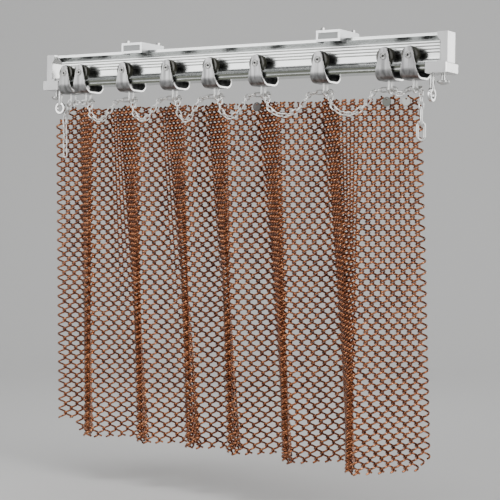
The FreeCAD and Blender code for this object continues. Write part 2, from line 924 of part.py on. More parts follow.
# Tag discs
def tag(x, y, z):
    """A round tag facing front, with a hole near its top."""
    disc = flat_sided_rod(tag_radius, 0, tag_thickness, tag_sides)
    hole = flat_sided_rod(tag_hole_radius, -overrun, tag_thickness + overrun, rivet_sides)
    disc = disc.cut(hole.translated(V(0, tag_radius - tag_hole_inset, 0)))
    return disc.rotate(V(0, 0, 0), V(1, 0, 0), quarter_degrees).translated(V(x, y, z))


def main():
    os.makedirs("parts", exist_ok=True)
    places = carrier_places()
    save("track", track())
    for side, name in ((-1, "left"), (1, "right")):
        save("ceiling_bracket_" + name, ceiling_bracket(side * bracket_spacing / 2))
        save("ceiling_screws_" + name, ceiling_screws(side * bracket_spacing / 2))
        save("end_block_" + name, at_end(end_block(), side))
        save("end_upright_" + name, at_end(end_upright(), side))
        save("end_screw_" + name, at_end(end_screw(), side))
        save("eye_bolt_" + name, at_end(eye_bolt(side < 0), side))
    pieces = {
        "carrier_yoke": yoke(),
        "carrier_wheels": wheels(),
        "carrier_rivets": rivets(),
        "hanger": hanger(),
    }
    for i, x in enumerate(places, 1):
        for name, shape in pieces.items():
            save("%s_%d" % (name, i), shape.translated(V(x, 0, 0)))
    first = valley_at(places[1])
    last = valley_at(places[-2])
    save("curtain_left", curtain_left(first, places[:2]))
    save("curtain_middle", coil_sheet(first, last, places[1:-1]))
    save("curtain_right", curtain_right(last, places[-2:]))
    save("spacer_chain_left", chain_left(places))
    save("spacer_chain_middle", chain_middle(places))
    save("spacer_chain_right", chain_right(places))
    level = curtain_top - tag_radius - tag_drop
    save("tag_disc_middle", tag(places[5] - middle_tag_inset, middle_tag_back, level))
    other_tag = tag(places[-2], -other_tag_forward, level)
    last_tag = tag(places[-1] - last_tag_inset, -last_tag_forward, level)
    save("tag_discs_right", Part.makeCompound([other_tag, last_tag]))


main()
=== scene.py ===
import math

import bpy
import numpy as np
from mathutils import Matrix, Vector


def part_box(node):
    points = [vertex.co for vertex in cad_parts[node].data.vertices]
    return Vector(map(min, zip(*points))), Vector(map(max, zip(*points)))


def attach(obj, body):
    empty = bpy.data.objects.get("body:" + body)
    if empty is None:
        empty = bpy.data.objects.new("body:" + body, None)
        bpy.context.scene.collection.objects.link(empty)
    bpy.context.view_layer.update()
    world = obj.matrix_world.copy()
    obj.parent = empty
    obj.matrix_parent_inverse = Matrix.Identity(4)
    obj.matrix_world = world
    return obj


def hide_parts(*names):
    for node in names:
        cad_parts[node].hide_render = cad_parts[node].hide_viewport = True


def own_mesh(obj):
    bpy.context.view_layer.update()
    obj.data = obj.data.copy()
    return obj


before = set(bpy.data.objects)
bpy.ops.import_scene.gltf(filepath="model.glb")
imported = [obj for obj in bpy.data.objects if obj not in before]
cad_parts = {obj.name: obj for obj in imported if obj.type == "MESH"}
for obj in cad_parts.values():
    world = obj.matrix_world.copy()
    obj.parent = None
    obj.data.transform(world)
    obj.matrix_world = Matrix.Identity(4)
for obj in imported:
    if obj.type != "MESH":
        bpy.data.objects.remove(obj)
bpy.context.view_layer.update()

# Coil mesh curtain on a track with roller carriers, drawn round the CAD nodes of the frame.
# Lengths are in millimetres, and MM scales them for Blender. The camera, the lights, the draw's
# travel and the textures are in metres, and colours are linear.
MM = 0.001
RANDOM_SEED = 11
CARRIER_COUNT = 9
rng = np.random.default_rng(RANDOM_SEED)


def node_box(node):
    """The lowest and the highest corner of a node."""
    low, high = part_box(node)
    return np.array(low) / MM, np.array(high) / MM


def node_middle(node):
    low, high = node_box(node)
    return (low + high) / 2


# Materials
EVEN = (1.0, 1.0, 1.0)
ALONG_TRACK = (0.02, 1.0, 1.0)
UPRIGHT = (1.0, 1.0, 0.1)
BUMP_DEPTH = 0.0002


def new_material(name, color, metallic, roughness):
    material = bpy.data.materials.new(name)
    material.use_nodes = True
    tree = material.node_tree
    shader = tree.nodes["Principled BSDF"]
    shader.inputs["Base Color"].default_value = (*color, 1.0)
    shader.inputs["Metallic"].default_value = metallic
    shader.inputs["Roughness"].default_value = roughness
    return material, tree, shader


def noise(tree, scale, detail=3.0, stretch=EVEN):
    """Noise fixed to the object. A stretch below 1 draws its marks out along that axis."""
    source = tree.nodes.new("ShaderNodeTexCoord")
    mapping = tree.nodes.new("ShaderNodeMapping")
    mapping.inputs["Scale"].default_value = stretch
    tree.links.new(source.outputs["Object"], mapping.inputs["Vector"])
    texture = tree.nodes.new("ShaderNodeTexNoise")
    texture.inputs["Scale"].default_value = scale
    texture.inputs["Detail"].default_value = detail
    tree.links.new(mapping.outputs["Vector"], texture.inputs["Vector"])
    return texture.outputs["Fac"]


def ramp(tree, value, stops):
    node = tree.nodes.new("ShaderNodeValToRGB")
    elements = node.color_ramp.elements
    while len(elements) < len(stops):
        elements.new(0.5)
    for element, (place, color) in zip(elements, stops):
        element.position = place
        element.color = (*color, 1.0)
    tree.links.new(value, node.inputs["Fac"])
    return node.outputs["Color"]


def spread_value(tree, value, low, high):
    node = tree.nodes.new("ShaderNodeMapRange")
    node.inputs["To Min"].default_value = low
    node.inputs["To Max"].default_value = high
    tree.links.new(value, node.inputs["Value"])
    return node.outputs["Result"]


def bump(tree, shader, height, strength):
    node = tree.nodes.new("ShaderNodeBump")
    node.inputs["Strength"].default_value = strength
    node.inputs["Distance"].default_value = BUMP_DEPTH
    tree.links.new(height, node.inputs["Height"])
    tree.links.new(node.outputs["Normal"], shader.inputs["Normal"])


def toned(color, factor):
    return tuple(min(1.0, c * factor) for c in color)


def surface(name, color, metallic, roughness, spread, grain, tones, stops, relief):
    """A material with a fine grain in its roughness and relief, and broader tones in its colour.

    grain and tones are what noise() takes, spread is the range of the roughness, and stops are
    the colours that the tones run through.
    """
    material, tree, shader = new_material(name, color, metallic, roughness)
    fine = noise(tree, *grain)
    tree.links.new(spread_value(tree, fine, *spread), shader.inputs["Roughness"])
    tree.links.new(ramp(tree, noise(tree, *tones), stops), shader.inputs["Base Color"])
    bump(tree, shader, fine, relief)
    return material


def copper_material():
    """Copper-coloured wire under a thin clear layer."""
    material = surface(
        "copper_wire", (0.80, 0.36, 0.14), metallic=1.0, roughness=0.24, spread=(0.12, 0.26),
        grain=(700.0,), tones=(90.0,), relief=0.12,
        stops=[
            (0.30, (0.170, 0.050, 0.018)),
            (0.50, (0.310, 0.110, 0.040)),
            (0.72, (0.500, 0.210, 0.090)),
        ],
    )
    shader = material.node_tree.nodes["Principled BSDF"]
    shader.inputs["Coat Weight"].default_value = 0.55
    shader.inputs["Coat Roughness"].default_value = 0.10
    return material


def nylon_material():
    return surface(
        "nylon", (0.020, 0.020, 0.013), metallic=0.0, roughness=0.3, spread=(0.20, 0.36),
        grain=(900.0,), tones=(120.0,), relief=0.1,
        stops=[(0.3, (0.014, 0.014, 0.009)), (0.8, (0.034, 0.033, 0.021))],
    )


def silver_material(name, color, stretch, spread, relief=0.12, streaks=None):
    """Plated or anodised metal with fine marks drawn out along one direction.

    Its tone is cloudy or, where streaks gives their scale, runs in streaks along the marks.
    """
    tones = (25.0,)
    stops = [(0.25, toned(color, 0.90)), (0.75, toned(color, 1.05))]
    if streaks:
        tones = (streaks, 2.0, stretch)
        stops = [(0.36, toned(color, 0.62)), (0.62, toned(color, 1.35))]
    return surface(
        name, color, metallic=1.0, roughness=spread[0], spread=spread,
        grain=(600.0, 4.0, stretch), tones=tones, relief=relief, stops=stops,
    )


def painted_material(name, color, roughness):
    return surface(
        name, color, metallic=0.0, roughness=roughness, spread=(roughness * 0.8, roughness * 1.25),
        grain=(1200.0,), tones=(60.0,), relief=0.08,
        stops=[(0.3, toned(color, 0.88)), (0.7, toned(color, 1.06))],
    )


copper = copper_material()
nylon = nylon_material()

track_silver = silver_material(
    "track_silver", (0.46, 0.47, 0.465), ALONG_TRACK, (0.16, 0.26), relief=0.06,
)
# Painted shade: the floors of the track's flutes take a darker silver than the rest of the track,
# for the shade in the grooves.
groove_painted_shade = silver_material(
    "groove_painted_shade", (0.16, 0.16, 0.155), ALONG_TRACK, (0.30, 0.42), relief=0.06,
)
# Painted shade: the front faces of the track's flanges are coloured near-black, for how dark they
# look in the light.
flange_painted_shade = silver_material(
    "flange_painted_shade", (0.055, 0.058, 0.048), ALONG_TRACK, (0.34, 0.46), relief=0.06,
)
bracket_metal = silver_material("bracket_metal", (0.66, 0.67, 0.67), (0.1, 1.0, 1.0), (0.35, 0.5))
stop_silver = silver_material("stop_silver", (0.66, 0.66, 0.65), UPRIGHT, (0.20, 0.34))
# Painted shade: the front faces of the end blocks and uprights take this darker copy of their
# silver, for how the light falls on them.
stop_front_painted_shade = silver_material("stop_front_painted_shade", (0.36, 0.36, 0.36), UPRIGHT, (0.34, 0.48))
screw_silver = silver_material("screw_silver", (0.62, 0.62, 0.61), (1.0, 1.0, 0.3), (0.25, 0.4))
carrier_silver = silver_material(
    "carrier_silver", (0.24, 0.24, 0.24), UPRIGHT, (0.30, 0.44), streaks=260.0,
)
# Painted highlight: the straps' cut edges take this much lighter copy of the carriers' silver, for
# the light that they catch.
cut_edge_painted_highlight = silver_material("cut_edge_painted_highlight", (0.74, 0.74, 0.72), EVEN, (0.22, 0.34))
rivet_silver = silver_material("rivet_silver", (0.36, 0.36, 0.35), EVEN, (0.20, 0.32))
chain_silver = silver_material(
    "chain_silver", (0.78, 0.78, 0.76), EVEN, (0.24, 0.34), relief=0.05,
)
tag_grey = silver_material("tag_grey", (0.34, 0.34, 0.32), EVEN, (0.40, 0.55))

panel_paint = painted_material("panel_paint", (0.30, 0.31, 0.31), 0.45)
# Painted shade: the rivets' bores are coloured near-black, for the shade in these deep holes.
bore_painted_shade = painted_material("bore_painted_shade", (0.020, 0.018, 0.016), 0.5)
tag_olive = painted_material("tag_olive", (0.110, 0.115, 0.095), 0.42)
tag_dark = painted_material("tag_dark", (0.055, 0.045, 0.04), 0.4)

# Forms. A rounded corner takes up to CORNER_SHARE of the shorter edge beside it, and a profile's
# points nearer to its axis than ON_AXIS stay sharp.
CORNER_SHARE = 0.45
ON_AXIS = 0.02


def new_piece(name, points, quads, material, body=None, slot=None, smooth=True):
    """An object from an array of points and one of four-cornered faces, turned to face out."""
    mesh = bpy.data.meshes.new(name)
    points = np.asarray(points, dtype=np.float32) * MM
    quads = np.asarray(quads, dtype=np.int32)
    a, b, c, d = (points[quads[:, i]] for i in range(4))
    if np.sum(np.cross(b - a, c - a) * a) + np.sum(np.cross(c - a, d - a) * a) < 0:
        quads = quads[:, ::-1]
    mesh.vertices.add(len(points))
    mesh.vertices.foreach_set("co", points.ravel())
    mesh.loops.add(quads.size)
    mesh.loops.foreach_set("vertex_index", quads.ravel())
    mesh.polygons.add(len(quads))
    mesh.polygons.foreach_set("loop_start", np.arange(0, quads.size, 4, dtype=np.int32))
    mesh.polygons.foreach_set("use_smooth", np.full(len(quads), smooth))
    mesh.update(calc_edges=True)
    mesh.validate()
    mesh.materials.append(material)
    piece = bpy.data.objects.new(name, mesh)
    bpy.context.scene.collection.objects.link(piece)
    if body:
        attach(piece, body)
    return piece


def shade_faces(piece, material, chosen):
    """Gives another material to the faces that a test of their normal and their middle picks. Some
    calls give a real second colour this way, and others give painted shade or a painted highlight.
    """
    piece.data.materials.append(material)
    slot = len(piece.data.materials) - 1
    for face in piece.data.polygons:
        if chosen(face.normal, face.center / MM):
            face.material_index = slot


def unit(vectors):
    return vectors / np.linalg.norm(vectors, axis=-1, keepdims=True)


def ring_quads(rings, sides, closed=False):
    """Faces between rings of points that follow one another."""
    last = rings if closed else rings - 1
    i = np.repeat(np.arange(last), sides)
    j = np.tile(np.arange(sides), last)
    following = (i + 1) % rings
    beside = (j + 1) % sides
    return np.stack([
        i * sides + j, i * sides + beside, following * sides + beside, following * sides + j,
    ], axis=1)


def gather(parts):
    """Several point and face arrays as one."""
    points, quads, total = [], [], 0
    for some, faces in parts:
        points.append(some)
        quads.append(np.asarray(faces) + total)
        total += len(some)
    return np.concatenate(points), np.concatenate(quads)


def tube(centres, across, over, radius, sides, closed=False):
    """Rings of points round a line of centres, each in the plane of two directions."""
    angles = 2 * math.pi * np.arange(sides) / sides
    ring = (
        across[:, None, :] * np.cos(angles)[None, :, None]
        + over[:, None, :] * np.sin(angles)[None, :, None]
    )
    points = centres[:, None, :] + ring * radius
    return points.reshape(-1, 3), ring_quads(len(centres), sides, closed)


def turned(profile, axis, centre, sides):
    """A lathe form from a closed profile of radii and places along an axis."""
    profile = np.asarray(profile, dtype=float)
    axis = np.asarray(axis, dtype=float)
    first = unit(np.cross(axis, [0.3, 0.5, 0.8]))
    second = np.cross(axis, first)
    angles = 2 * math.pi * np.arange(sides) / sides
    rays = first[None, :] * np.cos(angles)[:, None] + second[None, :] * np.sin(angles)[:, None]
    points = (
        np.asarray(centre)[None, None, :]
        + rays[:, None, :] * profile[None, :, 0, None]
        + axis[None, None, :] * profile[None, :, 1, None]
    )
    return points.reshape(-1, 3), ring_quads(sides, len(profile), closed=True)


def mirrored_pair(profile, x, z, sides):
    """A lathe form on each side of the track, on an axis that crosses it."""
    return gather([turned(profile, (0, side, 0), (x, 0, z), sides) for side in (-1, 1)])


def corner_room(before, here, after):
    return CORNER_SHARE * min(np.linalg.norm(before - here), np.linalg.norm(after - here))


def corner_arc(before, here, after, reach, steps):
    """The points of a curve that cuts a corner, from a reach before it to a reach after it."""
    a, b = here + unit(before - here) * reach, here + unit(after - here) * reach
    return [
        (1 - s) ** 2 * a + 2 * s * (1 - s) * here + s * s * b
        for s in np.linspace(0, 1, steps + 1)
    ]


def rounded(profile, radius, steps):
    """Rounds the corners of a closed profile of radii and places, but not on its axis."""
    profile = np.asarray(profile, dtype=float)
    out = []
    for i, here in enumerate(profile):
        before, after = profile[i - 1], profile[(i + 1) % len(profile)]
        if here[0] < ON_AXIS:
            out.append(here)
        else:
            reach = min(radius, corner_room(before, here, after))
            out += corner_arc(before, here, after, reach, steps)
    return np.array(out)


# The folds of the curtain, as in the model. Their places along the track are shares of the way
# from the second carrier to the last but one, and their depths are shares of the whole depth.
TOP_LEVEL, HEM_LEVEL = -57.3, -387.8
TOP_DEPTH, HEM_DEPTH = 18.0, 40.0
FOLD_RADIUS = 5.0
FOLD_STEPS = 8
WAY_STEP = 0.002

carriers = [node_middle("carrier_yoke_%d" % k)[0] for k in range(1, CARRIER_COUNT + 1)]
second_carrier, last_but_one = carriers[1], carriers[7]
span = last_but_one - second_carrier
top_x = second_carrier + span * np.array([
    -0.100, -0.037, 0.035, 0.062, 0.201, 0.245, 0.369,
    0.401, 0.514, 0.580, 0.676, 0.783, 0.858, 1.080,
])
top_y = TOP_DEPTH * np.array([
    -0.33, 0.28, -0.5, 0.5, -0.5, 0.5, -0.5, 0.5, -0.5, 0.5, -0.5, 0.5, -0.5, 0.11,
])
hem_x = second_carrier + span * np.array([
    -0.097, -0.025, 0.047, 0.183, 0.239, 0.374, 0.403,
    0.511, 0.551, 0.676, 0.747, 0.874, 0.960, 1.102,
])
hem_y = HEM_DEPTH * np.array([
    -0.05, 0.45, -0.5, 0.5, -0.5, 0.5, -0.48, 0.5, -0.58, 0.5, -0.78, 0.5, -1.15, 0.45,
])


def rounded_course(xs, ys):
    """The line of the folds with round corners, and each point's share of its length."""
    corners = np.stack([xs, ys], axis=1)
    line = [corners[0]]
    for before, here, after in zip(corners, corners[1:], corners[2:]):
        turn = math.acos(np.clip(np.dot(unit(before - here), unit(after - here)), -1, 1))
        reach = min(FOLD_RADIUS / math.tan(turn / 2), corner_room(before, here, after))
        line += corner_arc(before, here, after, reach, FOLD_STEPS)
    line.append(corners[-1])
    line = np.array(line)
    runs = np.concatenate([[0], np.cumsum(np.linalg.norm(np.diff(line, axis=0), axis=1))])
    return line, runs / runs[-1]


def along_course(course, shares):
    """The places at shares of a course's length, and the way that it goes there."""
    line, runs = course

    def place_at(some):
        return np.stack([np.interp(some, runs, line[:, i]) for i in (0, 1)], axis=-1)

    ahead = np.clip(shares + WAY_STEP, 0, 1)
    behind = np.clip(shares - WAY_STEP, 0, 1)
    return place_at(shares), unit(place_at(ahead) - place_at(behind))


# Coil mesh: every coil is one wire, wound to an oval with half its widths below
COIL_COUNT = 112
TURN_PITCH = 9.525
WIRE_RADIUS = 0.98
HALF_ALONG, HALF_THROUGH = 3.85, 2.9
STEPS_PER_TURN = 12
WIRE_SIDES = 6
UNEVENNESS = 0.03
MIDDLE_PIECES = 4

top_course = rounded_course(top_x, top_y)
hem_course = rounded_course(hem_x, hem_y)
coil_shares = (np.arange(COIL_COUNT) + 0.5) / COIL_COUNT
top_place, top_way = along_course(top_course, coil_shares)
hem_place, hem_way = along_course(hem_course, coil_shares)


def coil_levels(k):
    """The levels of a coil's two ends.

    The top stands up at the carriers and sags between them. Three coils at the left edge are
    short at both ends, and two at the right edge are short at the hem.
    """
    rise, sag, sag_reach = 0.3, 3.2, 5.5
    hem_rise = 0.9
    left_count, left_drop, left_rise = 3, 12.4, 12.5
    right_rises = {COIL_COUNT - 2: 5.0, COIL_COUNT - 1: 10.0}
    nearest = min(abs(top_place[k, 0] - x) for x in carriers)
    top = TOP_LEVEL + rise - sag * (1 - math.exp(-(nearest / sag_reach) ** 2))
    low = HEM_LEVEL + hem_rise + right_rises.get(k, 0.0)
    if k < left_count:
        top = TOP_LEVEL - left_drop
        low += left_rise
    return top, low


def coil(k):
    """The wire of one coil. Neighbouring coils are wound half a turn apart."""
    top, low = coil_levels(k)
    count = int((top - low) / TURN_PITCH * STEPS_PER_TURN)
    z = low + WIRE_RADIUS + (top - low - 2 * WIRE_RADIUS) * np.arange(count + 1) / count
    share = ((TOP_LEVEL - z) / (TOP_LEVEL - HEM_LEVEL))[:, None]
    axis = top_place[k] * (1 - share) + hem_place[k] * share
    way = unit(top_way[k] * (1 - share) + hem_way[k] * share)
    through = np.stack([-way[:, 1], way[:, 0]], axis=1)
    angle = (2 * math.pi * (z - HEM_LEVEL) / TURN_PITCH + math.pi * (k % 2))[:, None]
    uneven = 1 + UNEVENNESS * rng.standard_normal()
    flat = axis + way * np.cos(angle) * HALF_ALONG * uneven + through * np.sin(angle) * HALF_THROUGH
    centres = np.concatenate([flat, z[:, None]], axis=1)
    ways = unit(np.gradient(centres, axis=0))
    outward = way * np.cos(angle) * HALF_THROUGH + through * np.sin(angle) * HALF_ALONG
    outward = np.concatenate([outward, np.zeros_like(z)[:, None]], axis=1)
    outward = unit(outward - ways * np.sum(outward * ways, axis=1, keepdims=True))
    return tube(centres, outward, np.cross(ways, outward), WIRE_RADIUS, WIRE_SIDES)


def mesh_piece(name, coils, body):
    return new_piece(name, *gather([coil(int(k)) for k in coils]), copper, body, "coil_mesh")


def valley_at(x):
    """The number of the coil that starts nearest to a place along the track."""
    valleys, _ = along_course(top_course, np.arange(COIL_COUNT + 1) / COIL_COUNT)
    return int(np.argmin(np.abs(valleys[:, 0] - x)))


def squashed(piece):
    """Gives a piece its own copy of its mesh."""
    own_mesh(piece)


# The coils take their unevenness from one sequence, in the order left, right, middle
first_valley, last_valley = valley_at(second_carrier), valley_at(last_but_one)
left_mesh = mesh_piece("mesh_left", range(first_valley), "track")
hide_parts("curtain_left")
right_mesh = mesh_piece("mesh_right", range(last_valley, COIL_COUNT), "lead")
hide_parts("curtain_right")
middle_coils = np.arange(first_valley, last_valley)
for i, some in enumerate(np.array_split(middle_coils, MIDDLE_PIECES)):
    piece = mesh_piece("mesh_middle_%d" % (i + 1), some, "track")
    squashed(piece)
    if i == 0:
        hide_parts("curtain_middle")

# Chain: each link of the model redrawn in round wire. The wire's radius is a share of the
# thickness of the model's link.
LINK_RADIUS_SHARE = 0.58
LINK_END_STEPS = 9
LINK_SIDES = 8


def link_groups(node):
    """The corners of each separate link in a node."""
    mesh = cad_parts[node].data
    points = np.empty(len(mesh.vertices) * 3)
    mesh.vertices.foreach_get("co", points)
    points = np.round(points.reshape(-1, 3) / MM, 3)
    unique, index = np.unique(points, axis=0, return_inverse=True)
    index = index.ravel()
    owner = list(range(len(unique)))

    def first_of(i):
        while owner[i] != i:
            owner[i] = owner[owner[i]]
            i = owner[i]
        return i

    for edge in mesh.edges:
        a, b = first_of(index[edge.vertices[0]]), first_of(index[edge.vertices[1]])
        owner[a] = b
    groups = {}
    for i in range(len(unique)):
        groups.setdefault(first_of(i), []).append(unique[i])
    return [np.array(group) for group in groups.values()]


def round_link(corners):
    """An oval of round wire along a link's own length, width and thickness."""
    middle = corners.mean(axis=0)
    _, _, axes = np.linalg.svd(corners - middle)
    local = (corners - middle) @ axes.T
    long, wide, thick = local.max(axis=0) - local.min(axis=0)
    bend = (wide - thick) / 2
    straight = (long - thick) / 2 - bend
    line, out = [], []
    for centre, start in ((straight, 0), (-straight, math.pi)):
        for angle in np.linspace(-90, 90, LINK_END_STEPS):
            a = math.radians(angle) + start
            out.append([math.cos(a), math.sin(a), 0])
            line.append([centre + bend * math.cos(a), bend * math.sin(a), 0])
    line, out = np.array(line) @ axes + middle, np.array(out) @ axes
    over = np.repeat(axes[2][None, :], len(line), axis=0)
    return tube(line, out, over, LINK_RADIUS_SHARE * thick, LINK_SIDES, closed=True)


for part, body in (("left", "track"), ("middle", "track"), ("right", "lead")):
    node = "spacer_chain_" + part
    links = gather([round_link(group) for group in link_groups(node)])
    piece = new_piece("chain_" + part, *links, chain_silver, body, "chain")
    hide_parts(node)
    if part == "middle":
        squashed(piece)

# Roller carriers. Profiles give radii and distances from the track's middle.
# Faces that look along the track more than CUT_FACING are the straps' cut edges, which are coloured
# lighter as a painted highlight.
CUT_FACING = 0.6
# The rivets' bores, inside BORE_RADIUS and nearer the middle than BORE_MOUTH, are coloured
# near-black as painted shade.
BORE_RADIUS, BORE_MOUTH = 1.25, 15.95


def strap_line():
    """The line of the yoke's strap as seen along the track, from head to head under the track.

    A row holds a point's place on the outer face, the way out of the face, and half the width.
    The strap narrows in straight lines from its shoulders to where they touch the round heads.
    """
    floor, bend, reach, half = -45.5, 10.0, 15.4, 8.25
    shoulder, head_z, head_radius = floor + 5.0, -22.8, 5.25
    rise = head_z - shoulder
    lean = math.atan2(half, rise) - math.acos(head_radius / math.hypot(half, rise)) + math.pi / 2
    touch = math.pi / 2 - lean
    touch_x, touch_z = head_radius * math.cos(touch), head_z + head_radius * math.sin(touch)

    def half_width(z):
        lift = max(z - shoulder, 0.0) / (touch_z - shoulder)
        return half + (touch_x - half) * lift

    rows = []
    for angle in np.linspace(math.pi / 2, touch, 15)[:-1]:
        head_level = head_z + head_radius * math.sin(angle)
        rows.append((-reach, head_level, -1, 0, head_radius * math.cos(angle)))
    for z in np.linspace(touch_z, floor + bend, 8):
        rows.append((-reach, z, -1, 0, half_width(z)))
    for angle in np.linspace(0, math.pi / 2, 15)[1:]:
        y, z = -math.cos(angle), -math.sin(angle)
        level = floor + bend + bend * z
        rows.append((-(reach - bend) + bend * y, level, y, z, half_width(level)))
    rows += [(-y, z, -out_y, out_z, width) for y, z, out_y, out_z, width in rows[::-1]]
    return np.array(rows)


def strap_section():
    """A round-edged section: sides (1 or -1), insets from them and depths below the outer face."""
    thick, edge, flat = 2.0, 0.35, 0.3
    corners = ((1, thick - edge), (-1, thick - edge), (-1, edge), (1, edge))
    rows = []
    for i, (side, middle) in enumerate(corners):
        angles = [math.radians(90 * i + step) for step in (0, 30, 60, 90)]
        arc = [(edge * math.cos(a) - side * edge, middle + edge * math.sin(a)) for a in angles]
        (start_x, start_y), (end_x, end_y) = arc[0], arc[-1]
        start = (start_x + flat * math.sin(angles[0]), start_y - flat * math.cos(angles[0]))
        end = (end_x - flat * math.sin(angles[-1]), end_y + flat * math.cos(angles[-1]))
        rows += [(side, inset, depth) for inset, depth in [start] + arc + [end]]
    return rows


def yoke_strap(k):
    """The yoke with its bends and edges round. Its section closes up where a head gets narrow."""
    narrow = 0.8
    x = node_middle("carrier_yoke_%d" % k)[0]
    line, section = strap_line(), strap_section()
    points = []
    for y, z, out_y, out_z, width in line:
        for side, inset, depth in section:
            place = side * width + inset * min(1.0, width / narrow)
            points.append((x + place, y - out_y * depth, z - out_z * depth))
    return np.array(points), ring_quads(len(line), len(section))


def wheel_pair(k):
    """Two wheels, each with a bore, a groove in its inner cheek and a bevel on both rims."""
    x, _, z = node_middle("carrier_wheels_%d" % k)
    bore, radius, inner, groove, outer = 2.1, 8.2, 6.7, 7.1, 12.7
    profile = rounded([
        (bore, inner), (3.6, inner), (3.8, groove), (6.2, groove), (6.6, inner), (7.0, inner),
        (radius, 7.9), (radius, 12.4), (radius - 0.3, outer), (bore, outer),
    ], 0.35, 2)
    return mirrored_pair(profile, x, z, 44)


def rivet_pair(k):
    """Two rivets, each a shank with a rolled head round the mouth of its bore."""
    x, z = node_middle("carrier_yoke_%d" % k)[0], node_middle("carrier_rivets_%d" % k)[2]
    shank, start, cheek, crest, bore, floor = 1.95, 6.45, 15.3, 16.1, 1.15, 15.5
    profile = rounded([
        (0.0, start), (shank, start), (shank, cheek), (3.2, cheek), (3.2, 15.75), (2.6, crest),
        (2.1, 15.8), (1.7, crest), (bore, 16.0), (bore, floor), (0.0, floor),
    ], 0.2, 3)
    return mirrored_pair(profile, x, z, 32)


def hanger_piece(k):
    """A wire U through the yoke's floor, with a head on each end."""
    low, high = node_box("hanger_%d" % k)
    x = (low[0] + high[0]) / 2
    radius, bend, head_height = 0.8, 3.5, 1.0
    bottom, top = low[2] + radius + bend, high[2]
    leg = (top - 0.3, bottom + 5, bottom + 2)
    rows = [(bend, z, 1, 0) for z in leg]
    for a in np.linspace(0, math.pi, 15):
        rows.append((bend * math.cos(a), bottom - bend * math.sin(a), math.cos(a), -math.sin(a)))
    rows += [(-bend, z, -1, 0) for z in leg[::-1]]
    rows = np.array(rows)
    centres = np.column_stack([np.full(len(rows), x), rows[:, :2]])
    outward = np.column_stack([np.zeros(len(rows)), rows[:, 2:]])
    over = np.repeat([[1.0, 0, 0]], len(rows), axis=0)
    head = rounded([(0, 0), (1.35, 0), (1.35, 0.75), (0.9, head_height), (0, head_height)], 0.3, 2)
    parts = [tube(centres, outward, over, radius, 12)]
    for side in (-1, 1):
        parts.append(turned(head, (0, 0, 1), (x, side * bend, top - head_height), 20))
    return gather(parts)


def carrier_body(k):
    """What a carrier rides on: 1 and 2 stand tied, 8 and 9 lead, and each other one slides."""
    if k < 3:
        return "track"
    return "lead" if k > 7 else "carrier_%d" % k


for k in range(1, CARRIER_COUNT + 1):
    strap = new_piece("yoke_%d" % k, *yoke_strap(k), carrier_silver, carrier_body(k), "carrier")
    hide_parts("carrier_yoke_%d" % k)
    # Painted highlight: the strap's cut edges are coloured much lighter than its faces.
    shade_faces(strap, cut_edge_painted_highlight, lambda normal, middle: abs(normal.x) > CUT_FACING)
    wheels = new_piece("wheels_%d" % k, *wheel_pair(k), nylon, "wheels_%d" % k, "wheel")
    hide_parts("carrier_wheels_%d" % k)
    rivets = new_piece("rivets_%d" % k, *rivet_pair(k), rivet_silver, carrier_body(k), "rivet")
    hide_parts("carrier_rivets_%d" % k)
    axle_x, _, axle_z = node_middle("carrier_rivets_%d" % k)
    # Painted shade: the faces inside each rivet's bore are coloured near-black.
    shade_faces(rivets, bore_painted_shade, lambda normal, middle: (
        abs(middle.y) < BORE_MOUTH
        and math.hypot(middle.x - axle_x, middle.z - axle_z) < BORE_RADIUS
    ))
    hook = new_piece("hook_%d" % k, *hanger_piece(k), chain_silver, carrier_body(k), "hanger")
    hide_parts("hanger_%d" % k)


# End screws and eyes. Profiles give radii and heights above the piece's lowest point.
def end_screw(side):
    """A screw with a domed head below and a thread up to its tip."""
    low, high = node_box("end_screw_" + side)
    x = (low[0] + high[0]) / 2
    length = high[2] - low[2]
    crest, root, half_pitch, thread_start, unthreaded = 2.2, 1.85, 0.45, 3.7, 4.4
    head = [(0.0, 0.0), (2.4, 0.15), (4.2, 0.8), (5.3, 2.0), (5.45, 2.9), (5.3, 3.5), (crest, 3.5)]
    thread = [
        (crest if i % 2 else root, thread_start + i * half_pitch)
        for i in range(int((length - unthreaded) / half_pitch))
    ]
    tip = [(1.8, length), (0.0, length)]
    return turned(head + thread + tip, (0, 0, 1), (x, 0, low[2]), 32)


def eye_ring(side, axis):
    """A ring round the given axis, with a shank above it."""
    low, high = node_box("eye_bolt_" + side)
    x, y = (low[0] + high[0]) / 2, (low[1] + high[1]) / 2
    hole, outer, half, shank_radius, shank_start = 3.3, 6.25, 1.5, 2.15, 9.0
    section = rounded([(hole, -half), (outer, -half), (outer, half), (hole, half)], 0.7, 4)
    length = high[2] - low[2] - shank_start
    shank = rounded([(0, 0), (shank_radius, 0), (shank_radius, length), (0, length)], 0.3, 2)
    return gather([
        turned(section, axis, (x, y, low[2] + outer), 44),
        turned(shank, (0, 0, 1), (x, y, low[2] + shank_start), 28),
    ])


for side, axis in (("left", (0, 1, 0)), ("right", (1, 0, 0))):
    screw = new_piece("stop_screw_" + side, *end_screw(side), screw_silver, "track", "screws")
    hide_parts("end_screw_" + side)
    eye = new_piece("eye_" + side, *eye_ring(side, axis), stop_silver, "eye_" + side, "eye_bolt")
    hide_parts("eye_bolt_" + side)

# Nodes that keep the model's own shape, with soft edges. The track's flutes have their floors
# nearer to its middle than FLUTE_FLOOR, and its flanges end beyond FLANGE_EDGE. A face whose
# normal has more than SQUARE_ON along an axis looks that way.
FLUTE_FLOOR, FLANGE_EDGE = 1.2, 10.5
PANEL_INSET = 0.2
SQUARE_ON = 0.9
BEVEL_ANGLE = 35


def finish_node(node, material, width):
    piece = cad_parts[node]
    piece.data.materials.clear()
    piece.data.materials.append(material)
    bevel = piece.modifiers.new("edges", "BEVEL")
    bevel.width = width * MM
    bevel.segments = 2
    bevel.limit_method = "ANGLE"
    bevel.angle_limit = math.radians(BEVEL_ANGLE)
    bevel.harden_normals = False
    return piece


